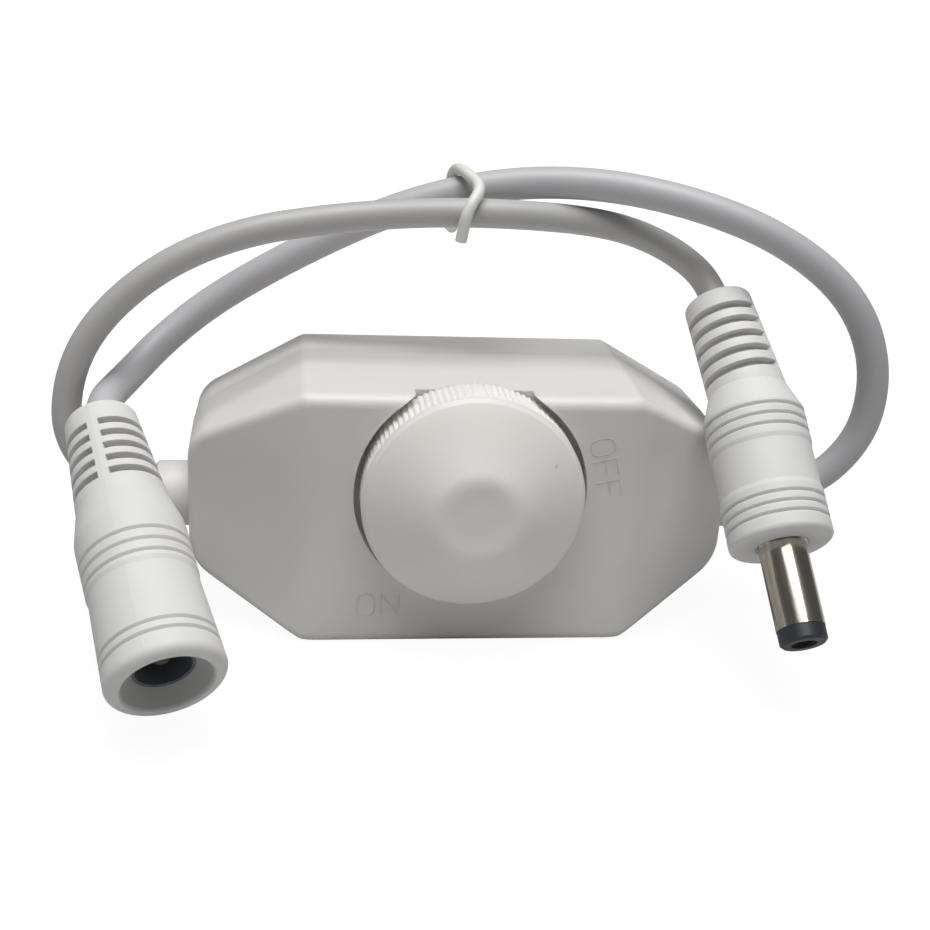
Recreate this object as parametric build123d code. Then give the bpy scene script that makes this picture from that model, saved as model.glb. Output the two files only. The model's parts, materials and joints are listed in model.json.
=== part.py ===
from build123d import *
import math
import os

os.makedirs("parts", exist_ok=True)

# Inline dimmer for low-voltage lights: an octagonal two-part housing with a
# knurled knob, and two short cords that end in a barrel jack and a barrel plug.
# Lengths are in millimetres and angles in degrees.
#
# The housing's pieces are drawn in its own axes: x along it, y across it towards
# the long wall where the knob shows, z out of the face, with z = 0 at the joint
# of the two covers. stand() then sets them upright on the lower long wall, with
# the face towards -Y. Cords and connectors are placed in the standing frame.

# Housing
HOUSING_LENGTH = 66.0
HOUSING_WIDTH = 31.6
LONG_EDGE = 39.0
END_WIDTH = 16.4
FRONT_DEPTH = 17.3
REAR_DEPTH = 7.6
END_DROP = 6.7
WALL = 2.0
LONG_CORNER_R = 1.8
END_CORNER_R = 5.0
FACE_EDGE_R = 1.4
FACE_BEND_R = 8.0
REAR_TAPER = 0.25
REAR_EDGE_R = 0.5

# Rim of the rear cover that plugs into the front cover
LIP_THICKNESS = 1.1
LIP_HEIGHT = 1.5
LIP_CLEARANCE = 0.15

# Screws and their posts
SCREW_END_INSET = 9.5
SCREW_OFFSET = 6.0
POST_R = 2.8
PILOT_DEPTH = 8.0
SCREW_R = 1.2
SCREW_CLEARANCE = 0.2
SCREW_HEAD_R = 2.2
SCREW_HEAD_HEIGHT = 1.6
SCREW_HEAD_SINK = 0.6
SCREW_LENGTH = 9.5
RECESS_SIZE = 0.7
RECESS_LENGTH = 2.4
RECESS_DEPTH = 0.8

# Knob and its well
KNOB_R = 13.0
KNOB_OVERHANG = 1.1
KNOB_GAP = 0.75
KNOB_LIFT = 0.45
RIM_PROUD = 3.1
DOME_HEIGHT = 4.5
TOP_R = 4.9
TOP_EDGE_R = 3.0
TOP_DISH = 0.25
DISH_FLAT_R = 2.4
DISH_BEND_R = 8.0
RIM_EDGE = 0.5
KNURL_COUNT = 108
KNURL_DEPTH = 0.25
KNOB_SKIRT = 1.8
KNOB_ROOF = 1.8
KNOB_BOSS_R = 4.6
KNOB_RIB = 1.0
KNOB_RIB_COUNT = 6
WELL_DEPTH = 3.0
WELL_FLOOR = 1.7
WELL_WALL = 1.6

# Potentiometer with switch
SHAFT_R = 3.0
SHAFT_FLAT = 1.5
SHAFT_FIT = 0.05
SHAFT_TOP_GAP = 0.2
SHAFT_ENGAGE = 7.6
POT_R = 8.2
POT_HEIGHT = 8.6
POT_WALL = 0.6
PLATE = 1.0
BUSHING_R = 3.5
BUSHING_CLEARANCE = 0.2
BUSHING_RECESS = 0.3
WAFER = 1.2
WAFER_TAB_WIDTH = 8.4
WAFER_TAB_REACH = 2.6
ROTOR_R = 6.4
ROTOR = 1.4
SPIGOT_R = 1.6
RUNNING_GAP = 0.4
WIPER_WIDTH = 1.6
WIPER_THICKNESS = 0.25
TERMINAL_WIDTH = 0.9
TERMINAL_THICKNESS = 0.4
TERMINAL_PITCH = 2.8
TERMINAL_TAIL = 0.9
SWITCH_BASE = 1.6
SWITCH_PITCH = 6.0
SWITCH_POST = 1.2
PART_CLEARANCE = 0.05

# Circuit board and what is soldered to it
BOARD = 1.6
BOARD_GAP = 0.5
STANDOFF_R = 1.8
STANDOFF_HEIGHT = 2.0
STANDOFF_INSET = 2.4
HOLE_CLEARANCE = 0.15
CAPACITOR_R = 3.15
CAPACITOR_HEIGHT = 7.0
CAPACITOR_GROOVE = 0.4
CAPACITOR_FOOT = 1.2
PACKAGE_GAP = 1.2
TRANSISTOR_LENGTH = 6.6
TRANSISTOR_WIDTH = 6.1
TRANSISTOR_HEIGHT = 2.3
TRANSISTOR_TAB = 1.2
TRANSISTOR_LEG_PITCH = 4.6
TRANSISTOR_FOIL = 0.5
CHIP_LENGTH = 4.9
CHIP_WIDTH = 3.9
CHIP_HEIGHT = 1.5
CHIP_PIN_COUNT = 4
CHIP_PIN_PITCH = 1.27
CHIP_PIN_WIDTH = 0.4
CHIP_PIN_REACH = 1.0
CHIP_PIN_THICKNESS = 0.25
DIODE_LENGTH = 4.3
DIODE_WIDTH = 2.6
DIODE_HEIGHT = 2.1
SMALL_LENGTH = 2.0
SMALL_WIDTH = 1.25
RESISTOR_HEIGHT = 0.5
RESISTOR_COUNT = 4
CERAMIC_HEIGHT = 0.9
CERAMIC_COUNT = 3
SMALL_PITCH = 2.4
SMALL_ROW_SHIFT = 4.8

# Cords, their collars and inner leads
INPUT_CORD_D = 3.9
OUTPUT_CORD_D = 3.5
COLLAR_R = 4.0
COLLAR_LENGTH = 4.4
COLLAR_EDGE = 0.6
COLLAR_NECK_R = 3.0
COLLAR_FLANGE = 1.1
COLLAR_CLEARANCE = 0.05
COLLAR_Y = -1.5
COLLAR_Z = 4.65
LEAD_D = 1.4
LEAD_SPACING = 1.8
LEAD_RISE = 2.6
PAD_INSET = 2.2
PAD_SPACING = 2.6
PAD_CLEARANCE = 0.3
CORD_SEAT = 0.1

# Strain relief sleeves of both connectors
SLEEVE_EDGE = 0.7
SLOT_COUNT = 5
SLOT_WIDTH = 1.0
SLOT_DEPTH = 1.1
SLEEVE_RIB = 1.3
RING_DEPTH = 0.3
RING_WIDTH = 0.55
SOCKET_DEPTH = 2.0
CORD_FIT = 0.05

# Jack
JACK_LENGTH = 36.6
JACK_SLEEVE_REAR_R = 4.15
JACK_SLEEVE_FRONT_R = 5.2
JACK_SLEEVE_LENGTH = 13.5
JACK_FIRST_SLOT = 3.6
JACK_SLOT_PITCH = 1.95
JACK_SHOULDER = 4.0
JACK_SHOULDER_R = 6.1
JACK_RING_ZONE_END = 24.3
JACK_BODY_R = 5.95
JACK_MOUTH_R = 6.5
JACK_MOUTH_EDGE = 1.1
JACK_RINGS = (20.6, 22.1, 23.6)
JACK_MOUTH_RINGS = (32.5, 33.7)
JACK_FLARE_R = 5.05
JACK_THROAT_R = 3.3
JACK_BORE_R = 4.85
JACK_RECESS = 2.0
INSULATOR_LENGTH = 12.0
INSULATOR_FIT = 0.05
SOCKET_R = 3.0
SOCKET_LENGTH = 9.5
PIN_R = 1.0
PIN_SINK = 0.8
PIN_ROOT = 1.5
SPRING_WIDTH = 1.5
SPRING_THICKNESS = 0.3
SPRING_SLOT = 1.2

# Plug
PLUG_BODY_LENGTH = 19.5
PLUG_SLEEVE_REAR_R = 4.1
PLUG_SLEEVE_FRONT_R = 4.7
PLUG_SLEEVE_LENGTH = 13.1
PLUG_FIRST_SLOT = 2.9
PLUG_SLOT_PITCH = 2.05
PLUG_SHOULDER = 3.4
PLUG_BODY_R = 6.0
PLUG_WAIST_R = 5.85
PLUG_NOSE_EDGE = 0.7
PLUG_RINGS = (4.0, 5.3, 6.6)
PLUG_NOSE_RINGS = (15.0, 16.2, 17.4)
BARREL_R = 2.75
BARREL_LENGTH = 9.9
BARREL_WALL = 0.35
BARREL_ROOT = 6.0
BARREL_STEP = 0.25
BARREL_SEAM = 0.12
TIP_LENGTH = 1.8
TIP_STEP = 0.05
TIP_EDGE = 0.3
TIP_WALL = 0.9
CONTACT_WALL = 0.25
CONTACT_SINK = 0.4

# Twist tie round both cords
TIE_D = 1.4

# Where the connectors rest, from the housing's ends, its face and the floor. The
# plug's soft sleeve meets its body at the joint and bends a little with the cord.
JACK_ASIDE = 9.95
JACK_BEHIND_FACE = 8.25
JACK_RISE = 25.1
PLUG_ASIDE = 0.18
PLUG_BEHIND_FACE = 4.34
PLUG_RISE = 31.03
JACK_DIRECTION = Vector(0.265, -0.850, -0.456)
JACK_RIB_SIDE = Vector(-0.36, -0.36, 1.0)
PLUG_DIRECTION = Vector(0.073, -0.732, -0.677)
PLUG_SLEEVE_DIRECTION = Vector(0.161, -0.738, -0.656)
PLUG_RIB_SIDE = Vector(1.0, -0.45, 0.45)

# Cord routes in the standing frame, from the housing to the connector. The two
# points before them lie on the collar's axis, and the two after them on the
# connector's axis.
OUTPUT_LEAD_OUT = 9.0
OUTPUT_ROUTE = [
    (-47.9, 5.0, 20.5), (-47.4, 5.6, 28.6), (-43.7, 6.1, 35.7), (-36.1, 6.7, 42.3),
    (-26.8, 7.3, 46.3), (-16.5, 7.7, 48.1), (-5.5, 7.8, 49.2), (5.5, 7.9, 49.3),
    (16.6, 10.4, 48.1), (23.2, 10.8, 45.9), (28.2, 8.8, 43.2),
]
OUTPUT_LEAD_IN = 1.8
INPUT_LEAD_OUT = 11.3
INPUT_ROUTE = [
    (51.8, 3.2, 22.1), (51.7, 1.7, 32.5), (46.6, 1.1, 41.6), (37.3, 2.2, 48.2),
    (26.7, 5.6, 51.9), (15.3, 9.6, 53.1), (3.7, 12.5, 52.0), (-7.7, 13.9, 48.6),
    (-18.8, 14.9, 43.0), (-30.0, 16.3, 36.0), (-36.9, 14.2, 30.8), (-41.6, 9.0, 27.4),
]
INPUT_LEAD_IN = 3.8
TIE_ROUTE = [
    (-1.1, 5.3, 46.4), (-0.6, 4.8, 50.2), (1.4, 7.1, 52.5), (-1.0, 12.5, 54.0),
    (-1.3, 17.6, 51.6), (-1.5, 15.1, 46.2), (-1.6, 10.9, 46.8),
]
ARC_SHARE = 0.45
FACE_TILT_LIMIT = 0.5

# Heights that follow from the sizes above
END_X = HOUSING_LENGTH / 2
HALF_WIDTH = HOUSING_WIDTH / 2
KNOB_Y = HALF_WIDTH + KNOB_OVERHANG - KNOB_R
WELL_R = KNOB_R + KNOB_GAP
WELL_Z = FRONT_DEPTH - WELL_DEPTH
KNOB_Z = WELL_Z + KNOB_LIFT
RIM_Z = FRONT_DEPTH + RIM_PROUD
KNOB_TOP_Z = RIM_Z + DOME_HEIGHT
MIDDLE_Z = (KNOB_TOP_Z - REAR_DEPTH) / 2
REAR_FLOOR_Z = WALL - REAR_DEPTH
BOARD_Z = REAR_FLOOR_Z + STANDOFF_HEIGHT
BOARD_TOP_Z = BOARD_Z + BOARD
PLATE_Z = BOARD_TOP_Z + POT_HEIGHT
WAFER_Z = PLATE_Z - WAFER
ROTOR_Z = WAFER_Z - RUNNING_GAP - WIPER_THICKNESS - ROTOR
SHAFT_TOP_Z = KNOB_Z + SHAFT_ENGAGE
WIPER_REACH = ROTOR_R - SHAFT_R - RUNNING_GAP
SCREW_X = END_X - SCREW_END_INSET
SCREW_PLACES = [(SCREW_X, -SCREW_OFFSET), (-SCREW_X, SCREW_OFFSET)]
BARREL_END = PLUG_BODY_LENGTH + BARREL_LENGTH
BARREL_START = PLUG_BODY_LENGTH - BARREL_ROOT
BOARD_LENGTH = 2 * (SCREW_X - POST_R - BOARD_GAP)
BOARD_WIDTH = HOUSING_WIDTH - 2 * (WALL + LIP_CLEARANCE + LIP_THICKNESS + BOARD_GAP)
UP = (Align.CENTER, Align.CENTER, Align.MIN)


def stand(shape):
    """Turn a housing piece upright and put the row's origin under the object's middle."""
    return Pos(0, MIDDLE_Z, HALF_WIDTH) * Rot(90, 0, 0) * shape


def post(radius, x, y, bottom, top):
    """Upright cylinder between two heights."""
    return Pos(x, y, bottom) * Cylinder(radius, top - bottom, align=UP)


def block(length, width, bottom, top, x=0.0, y=0.0):
    """Upright box between two heights."""
    return Pos(x, y, bottom) * Box(length, width, top - bottom, align=UP)


def outline(inset):
    """Octagonal section of the housing, moved in from its outer walls."""
    slope = math.atan2(HOUSING_WIDTH - END_WIDTH, HOUSING_LENGTH - LONG_EDGE)
    x_end = END_X - inset
    y_side = HALF_WIDTH - inset
    x_edge = LONG_EDGE / 2 - inset * math.tan(slope / 2)
    y_end = END_WIDTH / 2 - inset * math.tan((math.pi / 2 - slope) / 2)
    corners = [
        (x_edge, y_side), (-x_edge, y_side), (-x_end, y_end), (-x_end, -y_end),
        (-x_edge, -y_side), (x_edge, -y_side), (x_end, -y_end), (x_end, y_end),
    ]
    section = Polygon(*corners, align=None)
    ends = section.vertices().filter_by(lambda v: abs(v.X) > x_edge + WALL / 2)
    section = fillet(ends, max(END_CORNER_R - inset, LONG_CORNER_R))
    if inset < LONG_CORNER_R:
        longs = section.vertices().filter_by(lambda v: abs(abs(v.Y) - y_side) < LONG_CORNER_R / 2)
        section = fillet(longs, LONG_CORNER_R)
    return section


def under_face(drop):
    """Everything below the face, which is flat in the middle and falls back at both ends."""
    x_bend = LONG_EDGE / 2
    fall = END_DROP / (END_X - x_bend)
    x_far = HOUSING_LENGTH
    z_top = FRONT_DEPTH - drop
    z_far = z_top - fall * (x_far - x_bend)
    z_low = z_far - FRONT_DEPTH
    side = Polygon((-x_far, z_low), (x_far, z_low), (x_far, z_far), (x_bend, z_top),
                   (-x_bend, z_top), (-x_far, z_far), align=None)
    bends = side.vertices().group_by(Axis.Y)[-1]
    side = fillet(bends, FACE_BEND_R)
    return extrude(Plane.XZ * side, HOUSING_WIDTH, both=True)


def edges_round_face(body):
    """Edges between the face and the walls."""
    face_parts = [face for face in body.faces() if face.normal_at().Z > FACE_TILT_LIMIT]
    found = {}
    for face in face_parts:
        for edge in face.edges():
            place = edge.center()
            key = (round(place.X, 2), round(place.Y, 2), round(place.Z, 2))
            found.setdefault(key, []).append(edge)
    return [edges[0] for edges in found.values() if len(edges) == 1]


def collar_seat(side, radius, bottom):
    """Round-topped slot through an end wall for a cord collar's neck."""
    reach = 2 * WALL
    x = side * (END_X - WALL / 2)
    seat = Pos(x, COLLAR_Y, COLLAR_Z) * Rot(0, 90, 0) * Cylinder(radius, reach)
    return seat + block(reach, 2 * radius, bottom, COLLAR_Z, x, COLLAR_Y)


def front_cover():
    """Deep cover with the face, the knob's well and the screw posts."""
    outer = extrude(outline(0), FRONT_DEPTH) & under_face(0)
    outer = fillet(edges_round_face(outer), FACE_EDGE_R)
    hollow = extrude(outline(WALL), FRONT_DEPTH) & under_face(WALL)
    cup = post(WELL_R + WELL_WALL, 0, KNOB_Y, WELL_Z - WELL_FLOOR, FRONT_DEPTH)
    cover = outer - hollow + (cup & outer)
    for x, y in SCREW_PLACES:
        pillar = post(POST_R, x, y, 0, FRONT_DEPTH) & under_face(WALL / 2)
        cover += pillar - post(SCREW_R + PART_CLEARANCE, x, y, 0, PILOT_DEPTH)
    cover -= post(WELL_R, 0, KNOB_Y, WELL_Z, KNOB_TOP_Z)
    cover -= post(BUSHING_R + BUSHING_CLEARANCE, 0, KNOB_Y, 0, KNOB_TOP_Z)
    for side in (-1, 1):
        cover -= collar_seat(side, COLLAR_NECK_R + COLLAR_CLEARANCE, -WALL)
    return cover


def rear_cover():
    """Shallow cover with a plug-in rim, board standoffs and sunk screw holes."""
    taper = math.degrees(math.atan2(REAR_TAPER, REAR_DEPTH))
    outer = extrude(Rot(180, 0, 0) * outline(0), REAR_DEPTH, taper=taper)
    back = outer.faces().sort_by(Axis.Z)[0]
    outer = fillet(back.edges(), REAR_EDGE_R)
    hollow = extrude(Rot(180, 0, 0) * outline(WALL), REAR_DEPTH - WALL, taper=taper)
    inside = outline(WALL + LIP_CLEARANCE + LIP_THICKNESS)
    rim = Pos(0, 0, -WALL) * extrude(outline(WALL + LIP_CLEARANCE) - inside, WALL + LIP_HEIGHT)
    rim += Pos(0, 0, -WALL) * extrude(outline(WALL / 2) - inside, WALL)
    flange_room = 2 * (COLLAR_R + LIP_THICKNESS / 2)
    rim -= block(2 * HOUSING_LENGTH, flange_room, 0, LIP_HEIGHT, 0, COLLAR_Y)
    cover = outer - hollow + rim
    for x, y in SCREW_PLACES:
        cover += post(POST_R, x, y, REAR_FLOOR_Z, 0)
    for x in (-1, 1):
        for y in (-1, 1):
            foot_x = x * (BOARD_LENGTH / 2 - STANDOFF_INSET)
            foot_y = y * (BOARD_WIDTH / 2 - STANDOFF_INSET)
            cover += post(STANDOFF_R, foot_x, foot_y, REAR_FLOOR_Z, BOARD_Z)
    for x, y in SCREW_PLACES:
        head_seat = SCREW_HEAD_SINK + SCREW_HEAD_HEIGHT - REAR_DEPTH
        cover -= post(SCREW_R + SCREW_CLEARANCE, x, y, -REAR_DEPTH, 0)
        cover -= post(SCREW_HEAD_R + SCREW_CLEARANCE, x, y, -REAR_DEPTH, head_seat)
    for side in (-1, 1):
        x = side * (END_X - WALL / 2)
        tongue = block(WALL, 2 * COLLAR_NECK_R, 0, COLLAR_Z - COLLAR_CLEARANCE, x, COLLAR_Y)
        neck = Pos(x, COLLAR_Y, COLLAR_Z) * Rot(0, 90, 0)
        cover += tongue - neck * Cylinder(COLLAR_NECK_R + COLLAR_CLEARANCE, 2 * WALL)
    return cover


def housing_screws():
    """Two cross-recessed screws, put in from the rear."""
    group = []
    for x, y in SCREW_PLACES:
        head = SCREW_HEAD_SINK - REAR_DEPTH
        seat = head + SCREW_HEAD_HEIGHT
        screw = post(SCREW_HEAD_R, x, y, head, seat) + post(SCREW_R, x, y, seat, seat + SCREW_LENGTH)
        for length, width in ((RECESS_LENGTH, RECESS_SIZE), (RECESS_SIZE, RECESS_LENGTH)):
            screw -= block(length, width, head, head + RECESS_DEPTH, x, y)
        group.append(screw)
    return Compound(group)


def shaft_section(radius, flat):
    """Round section with one flat."""
    away = Pos(0, flat) * Rectangle(2 * radius, 2 * radius, align=(Align.CENTER, Align.MIN))
    return Circle(radius) - away


def knob():
    """Hollow knob with a knurled side, a conical dome and a dished top."""
    root = KNOB_R - KNURL_DEPTH
    teeth = []
    for index in range(2 * KNURL_COUNT):
        angle = math.pi * index / KNURL_COUNT
        radius = KNOB_R if index % 2 == 0 else root
        teeth.append((radius * math.cos(angle), radius * math.sin(angle)))
    side = Pos(0, 0, KNOB_Z) * extrude(Polygon(*teeth, align=None), RIM_Z - RIM_EDGE - KNOB_Z)
    shoulder = RIM_Z - RIM_EDGE
    crown = Polygon((0, shoulder), (KNOB_R, shoulder), (KNOB_R - RIM_EDGE, RIM_Z),
                    (TOP_R, KNOB_TOP_Z), (DISH_FLAT_R, KNOB_TOP_Z - TOP_DISH), (0, KNOB_TOP_Z - TOP_DISH),
                    align=None)
    crown = fillet(crown.vertices().sort_by(Axis.Y)[-1], TOP_EDGE_R)
    bend = crown.vertices().sort_by_distance((DISH_FLAT_R, KNOB_TOP_Z - TOP_DISH))[0]
    crown = fillet(bend, DISH_BEND_R)
    body = side + revolve(Plane.XZ * crown, Axis.Z)
    inner_r = root - KNOB_SKIRT
    inside = Polygon((0, KNOB_Z), (inner_r, KNOB_Z), (inner_r, RIM_Z - KNOB_ROOF),
                     (TOP_R, KNOB_TOP_Z - TOP_DISH - KNOB_ROOF), (0, KNOB_TOP_Z - TOP_DISH - KNOB_ROOF),
                     align=None)
    room = revolve(Plane.XZ * inside, Axis.Z)
    boss = post(KNOB_BOSS_R, 0, 0, KNOB_Z, KNOB_TOP_Z)
    for index in range(KNOB_RIB_COUNT):
        rib = block(inner_r, KNOB_RIB, KNOB_Z + KNOB_SKIRT, KNOB_TOP_Z, inner_r / 2)
        boss += Rot(0, 0, index * 360 / KNOB_RIB_COUNT) * rib
    body -= room - boss
    bore = extrude(shaft_section(SHAFT_R + SHAFT_FIT, SHAFT_FLAT + SHAFT_FIT), SHAFT_ENGAGE + SHAFT_TOP_GAP)
    return Pos(0, KNOB_Y, 0) * (body - Pos(0, 0, KNOB_Z) * bore)


def pot_shaft():
    """Shaft with a flat for the knob and a spigot for the rotor."""
    round_part = post(SHAFT_R, 0, 0, ROTOR_Z + ROTOR, KNOB_Z)
    flat_part = Pos(0, 0, KNOB_Z) * extrude(shaft_section(SHAFT_R, SHAFT_FLAT), SHAFT_TOP_Z - KNOB_Z)
    spigot = post(SPIGOT_R, 0, 0, ROTOR_Z, ROTOR_Z + ROTOR)
    return Pos(0, KNOB_Y, 0) * (round_part + flat_part + spigot)


def pot_rotor():
    """Disc that carries the wiper, with a cam lobe for the switch."""
    disc = post(ROTOR_R, 0, 0, ROTOR_Z, ROTOR_Z + ROTOR)
    lobe = block(SPIGOT_R, SPIGOT_R, ROTOR_Z - ROTOR, ROTOR_Z, ROTOR_R - SPIGOT_R)
    hole = post(SPIGOT_R + PART_CLEARANCE, 0, 0, ROTOR_Z, ROTOR_Z + ROTOR)
    return Pos(0, KNOB_Y, 0) * (disc + lobe - hole)


def pot_wiper():
    """Spring strip on the rotor that runs on the wafer's track."""
    bottom = ROTOR_Z + ROTOR
    strip = block(WIPER_WIDTH, WIPER_REACH, bottom, bottom + WIPER_THICKNESS)
    return Pos(0, KNOB_Y - ROTOR_R + WIPER_REACH / 2, 0) * strip


def pot_case():
    """Metal can of the potentiometer, with a window for the wafer's tongue."""
    can = post(POT_R, 0, 0, BOARD_TOP_Z, PLATE_Z) - post(POT_R - POT_WALL, 0, 0, BOARD_TOP_Z, PLATE_Z)
    window = WAFER_TAB_WIDTH + 2 * PART_CLEARANCE
    can -= block(window, POT_R, WAFER_Z - PART_CLEARANCE, PLATE_Z, 0, -POT_R)
    return Pos(0, KNOB_Y, 0) * can


def pot_bushing():
    """Front plate with the threaded neck that guides the shaft."""
    neck_top = WELL_Z - BUSHING_RECESS
    body = post(POT_R, 0, 0, PLATE_Z, PLATE_Z + PLATE) + post(BUSHING_R, 0, 0, PLATE_Z, neck_top)
    return Pos(0, KNOB_Y, 0) * (body - post(SHAFT_R + SHAFT_FIT, 0, 0, PLATE_Z, neck_top))


def pot_wafer():
    """Track carrier under the plate, with a tongue that holds the terminals."""
    radius = POT_R - POT_WALL - PART_CLEARANCE
    reach = POT_R + WAFER_TAB_REACH
    plate = post(radius, 0, 0, WAFER_Z, PLATE_Z)
    plate += block(WAFER_TAB_WIDTH, reach, WAFER_Z, PLATE_Z, 0, -reach / 2)
    return Pos(0, KNOB_Y, 0) * (plate - post(SHAFT_R + RUNNING_GAP, 0, 0, WAFER_Z, PLATE_Z))


def terminal_places():
    """Places of the three track terminals."""
    y = KNOB_Y - POT_R - WAFER_TAB_REACH + TERMINAL_WIDTH
    return [(index * TERMINAL_PITCH, y) for index in (-1, 0, 1)]


def switch_places():
    """Places of the two switch terminals."""
    return [(side * SWITCH_PITCH / 2, KNOB_Y) for side in (-1, 1)]


def pot_terminals():
    """Three blades from the wafer's tongue down through the board."""
    bottom = BOARD_Z - TERMINAL_TAIL
    blades = [block(TERMINAL_WIDTH, TERMINAL_THICKNESS, bottom, WAFER_Z, x, y) for x, y in terminal_places()]
    return Compound(blades)


def switch_base():
    """Insulating disc that closes the can and carries the switch contacts."""
    radius = POT_R - POT_WALL - PART_CLEARANCE
    disc = post(radius, 0, KNOB_Y, BOARD_TOP_Z, BOARD_TOP_Z + SWITCH_BASE)
    for x, y in switch_places():
        disc -= block(TERMINAL_WIDTH + HOLE_CLEARANCE, TERMINAL_THICKNESS + HOLE_CLEARANCE,
                      BOARD_TOP_Z, BOARD_TOP_Z + SWITCH_BASE, x, y)
    return disc


def switch_terminals():
    """Two headed contacts of the switch, with tails through the board."""
    seat = BOARD_TOP_Z + SWITCH_BASE
    group = []
    for x, y in switch_places():
        tail = block(TERMINAL_WIDTH, TERMINAL_THICKNESS, BOARD_Z - TERMINAL_TAIL, seat, x, y)
        group.append(tail + post(SWITCH_POST, x, y, seat, seat + TERMINAL_THICKNESS))
    return Compound(group)


def circuit_board():
    """Board on the standoffs, drilled for the terminals."""
    board = block(BOARD_LENGTH, BOARD_WIDTH, BOARD_Z, BOARD_TOP_Z)
    board = chamfer(board.edges().filter_by(Axis.Z), STANDOFF_INSET / 2)
    for x, y in terminal_places() + switch_places():
        board -= block(TERMINAL_WIDTH + HOLE_CLEARANCE, TERMINAL_THICKNESS + HOLE_CLEARANCE,
                       BOARD_Z, BOARD_TOP_Z, x, y)
    return board


def board_spot(side_x, side_y, length, width):
    """Centre of a package that sits in a corner of the board."""
    x = side_x * (BOARD_LENGTH / 2 - PACKAGE_GAP - length / 2)
    y = side_y * (BOARD_WIDTH / 2 - PACKAGE_GAP - width / 2)
    return x, y


def filter_capacitor():
    """Upright electrolytic can with a crimp groove."""
    x, y = board_spot(1, 1, 2 * CAPACITOR_R, 2 * CAPACITOR_R)
    can = post(CAPACITOR_R, x, y, BOARD_TOP_Z, BOARD_TOP_Z + CAPACITOR_HEIGHT)
    groove = BOARD_TOP_Z + CAPACITOR_FOOT
    ring = post(CAPACITOR_R, x, y, groove, groove + CAPACITOR_GROOVE)
    return can - (ring - post(CAPACITOR_R - CAPACITOR_GROOVE, x, y, groove, groove + CAPACITOR_GROOVE))


def power_transistor():
    """Flat power package with a heat tab and two legs."""
    x, y = board_spot(-1, -1, TRANSISTOR_LENGTH + 2 * TRANSISTOR_TAB, TRANSISTOR_WIDTH)
    body = block(TRANSISTOR_LENGTH, TRANSISTOR_WIDTH, BOARD_TOP_Z, BOARD_TOP_Z + TRANSISTOR_HEIGHT, x, y)
    body = chamfer(body.edges().group_by(Axis.Z)[-1], CHIP_PIN_THICKNESS)
    tab_x = x - TRANSISTOR_LENGTH / 2 - TRANSISTOR_TAB / 2
    foil_top = BOARD_TOP_Z + TRANSISTOR_FOIL
    body += block(TRANSISTOR_TAB, TRANSISTOR_WIDTH - TRANSISTOR_TAB, BOARD_TOP_Z, foil_top, tab_x, y)
    for side in (-1, 1):
        leg_y = y + side * TRANSISTOR_LEG_PITCH / 2
        leg_x = x + TRANSISTOR_LENGTH / 2 + TRANSISTOR_TAB / 2
        body += block(TRANSISTOR_TAB, TERMINAL_WIDTH, BOARD_TOP_Z, foil_top, leg_x, leg_y)
    return body


def timer_chip():
    """Eight-lead chip that chops the output."""
    x, y = board_spot(1, -1, CHIP_LENGTH, CHIP_WIDTH + 2 * CHIP_PIN_REACH)
    chip = block(CHIP_LENGTH, CHIP_WIDTH, BOARD_TOP_Z, BOARD_TOP_Z + CHIP_HEIGHT, x, y)
    chip = chamfer(chip.edges().group_by(Axis.Z)[-1], CHIP_PIN_THICKNESS)
    for index in range(CHIP_PIN_COUNT):
        pin_x = x + (index - (CHIP_PIN_COUNT - 1) / 2) * CHIP_PIN_PITCH
        chip += block(CHIP_PIN_WIDTH, CHIP_WIDTH + 2 * CHIP_PIN_REACH, BOARD_TOP_Z,
                      BOARD_TOP_Z + CHIP_PIN_THICKNESS, pin_x, y)
    return chip


def guard_diode():
    """Moulded diode with a wrap-round end at each side."""
    x, y = board_spot(-1, 1, DIODE_LENGTH, DIODE_WIDTH)
    body = block(DIODE_LENGTH, DIODE_WIDTH, BOARD_TOP_Z, BOARD_TOP_Z + DIODE_HEIGHT, x, y)
    return chamfer(body.edges().group_by(Axis.Z)[-1], CHIP_PIN_THICKNESS)


def row_of_chips(count, height, x, y):
    """Row of small chip parts across the board."""
    chips = []
    for index in range(count):
        place = y + (index - (count - 1) / 2) * SMALL_PITCH
        chips.append(block(SMALL_LENGTH, SMALL_WIDTH, BOARD_TOP_Z, BOARD_TOP_Z + height, x, place))
    return Compound(chips)


def chip_resistors():
    """Resistors beside the timer chip."""
    x = POT_R + PACKAGE_GAP + SMALL_LENGTH / 2
    return row_of_chips(RESISTOR_COUNT, RESISTOR_HEIGHT, x, -SMALL_ROW_SHIFT)


def chip_capacitors():
    """Capacitors beside the guard diode."""
    x = -POT_R - PACKAGE_GAP - SMALL_LENGTH / 2
    return row_of_chips(CERAMIC_COUNT, CERAMIC_HEIGHT, x, SMALL_ROW_SHIFT)


def arc_radii(points):
    """Radius at each corner of a route: as large as its two runs allow."""
    spots = [Vector(*point) for point in points]
    radii = []
    for before, here, after in zip(spots, spots[1:], spots[2:]):
        run_in = here - before
        run_out = after - here
        turn = math.radians(run_in.get_angle(run_out))
        radii.append(ARC_SHARE * min(run_in.length, run_out.length) / math.tan(turn / 2))
    return radii


def tube(points, diameter):
    """Round tube along straight runs and tangent arcs."""
    path = FilletPolyline(*points, radius=arc_radii(points))
    section = Plane(path @ 0, z_dir=path % 0) * Circle(diameter / 2)
    return sweep(section, path=path)


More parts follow.
